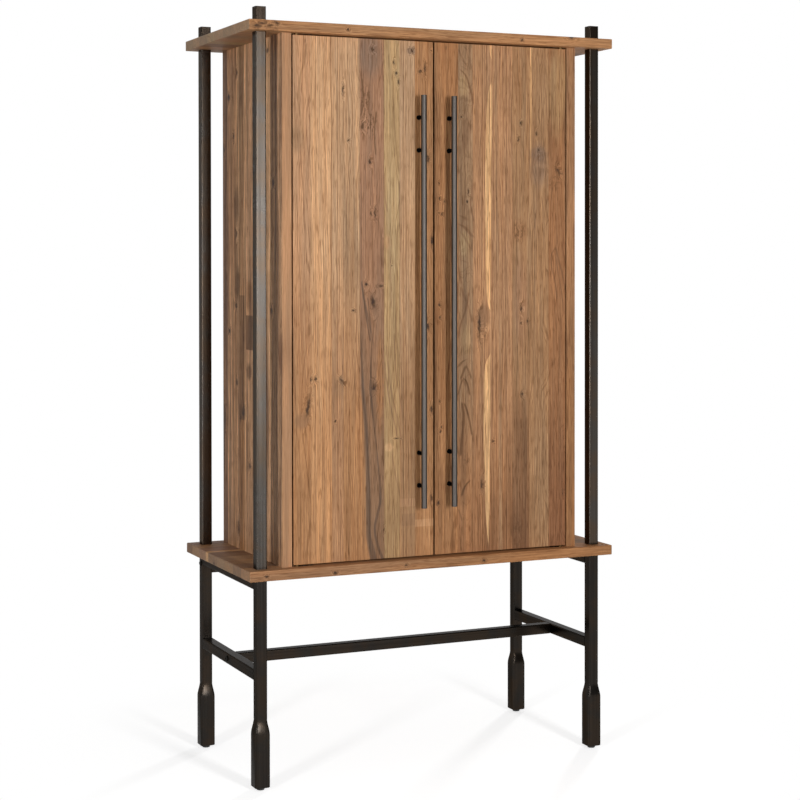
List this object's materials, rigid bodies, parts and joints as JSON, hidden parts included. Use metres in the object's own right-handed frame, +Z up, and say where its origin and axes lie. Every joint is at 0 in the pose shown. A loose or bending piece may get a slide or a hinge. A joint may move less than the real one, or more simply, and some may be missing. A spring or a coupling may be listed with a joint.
{
  "type": "bar cabinet",
  "caption": "Tall free-standing cabinet with hinged wooden stave doors and long bar handles, framed by square steel posts on an open stand; shelves inside hold bottles and glasses.",
  "frame": {"origin": "on the floor, under the middle of the whole box with the handles included", "axes": "+X to the right as seen from the front, +Y from the doors to the back panel, +Z up"},
  "size_m": [1, 0.5082, 1.89],
  "materials": {
    "stave_panel": "oiled reclaimed staves, satin",
    "stave_door": "oiled reclaimed staves, satin",
    "stave_side": "oiled reclaimed staves, satin",
    "shelf_board": "oiled, satin",
    "back_board": "plain veneer, matt",
    "dowel_wood": "raw turned",
    "frame_steel": "bronze-black satin coat",
    "handle_steel": "darkened, satin",
    "black_steel": "black oxide",
    "bright_steel": "zinc plated",
    "hinge_brass": "drawn, satin",
    "glide_plastic": "moulded, black",
    "catch_plastic": "moulded, brown"
  },
  "bodies": {
    "case": {"apron_left": "frame_steel", "apron_right": "frame_steel", "apron_screws": "bright_steel", "back_panel": "back_board", "back_panel_screws": "bright_steel", "base_panel": "stave_panel", "catch_screws": "bright_steel", "floor_glides": "glide_plastic", "foot_back_left": "frame_steel", "foot_back_right": "frame_steel", "foot_front_left": "frame_steel", "foot_front_right": "frame_steel", "hinge_case_leaves": "hinge_brass", "hinge_case_screws": "bright_steel", "hinge_washers": "hinge_brass", "leg_back_left": "frame_steel", "leg_back_right": "frame_steel", "leg_front_left": "frame_steel", "leg_front_right": "frame_steel", "leg_top_plugs": "bright_steel", "long_stretcher": "frame_steel", "magnet_catches": "catch_plastic", "panel_dowels": "dowel_wood", "post_back_left": "frame_steel", "post_back_right": "frame_steel", "post_bottom_plugs": "bright_steel", "post_caps": "frame_steel", "post_front_left": "frame_steel", "post_front_right": "frame_steel", "post_studs": "bright_steel", "rail_bolts": "black_steel", "rail_end_plugs": "bright_steel", "rear_rail": "frame_steel", "shelf_lower": "shelf_board", "shelf_middle": "shelf_board", "shelf_supports": "bright_steel", "shelf_upper": "shelf_board", "side_panel_left": "stave_side", "side_panel_right": "stave_side", "side_stretcher_left": "frame_steel", "side_stretcher_right": "frame_steel", "top_panel": "stave_panel", "weld_beads": "frame_steel"},
    "left_door": {"door_left": "stave_door", "handle_bar_left": "handle_steel", "handle_screws_left": "bright_steel", "handle_standoffs_left": "black_steel", "hinge_door_leaves_left": "hinge_brass", "hinge_door_screws_left": "bright_steel", "strike_plate_left": "bright_steel", "strike_screw_left": "bright_steel"},
    "right_door": {"door_right": "stave_door", "handle_bar_right": "handle_steel", "handle_screws_right": "bright_steel", "handle_standoffs_right": "black_steel", "hinge_door_leaves_right": "hinge_brass", "hinge_door_screws_right": "bright_steel", "strike_plate_right": "bright_steel", "strike_screw_right": "bright_steel"}
  },
  "joints": [
    {"name": "left_door_hinge", "type": "hinge", "parent": "case", "child": "left_door", "pos_m": [-0.366, -0.20888, 0.535], "axis": [0, 0, -1], "range_deg": [0, 110]},
    {"name": "right_door_hinge", "type": "hinge", "parent": "case", "child": "right_door", "pos_m": [0.366, -0.20888, 0.535], "axis": [0, 0, 1], "range_deg": [0, 110]}
  ]
}
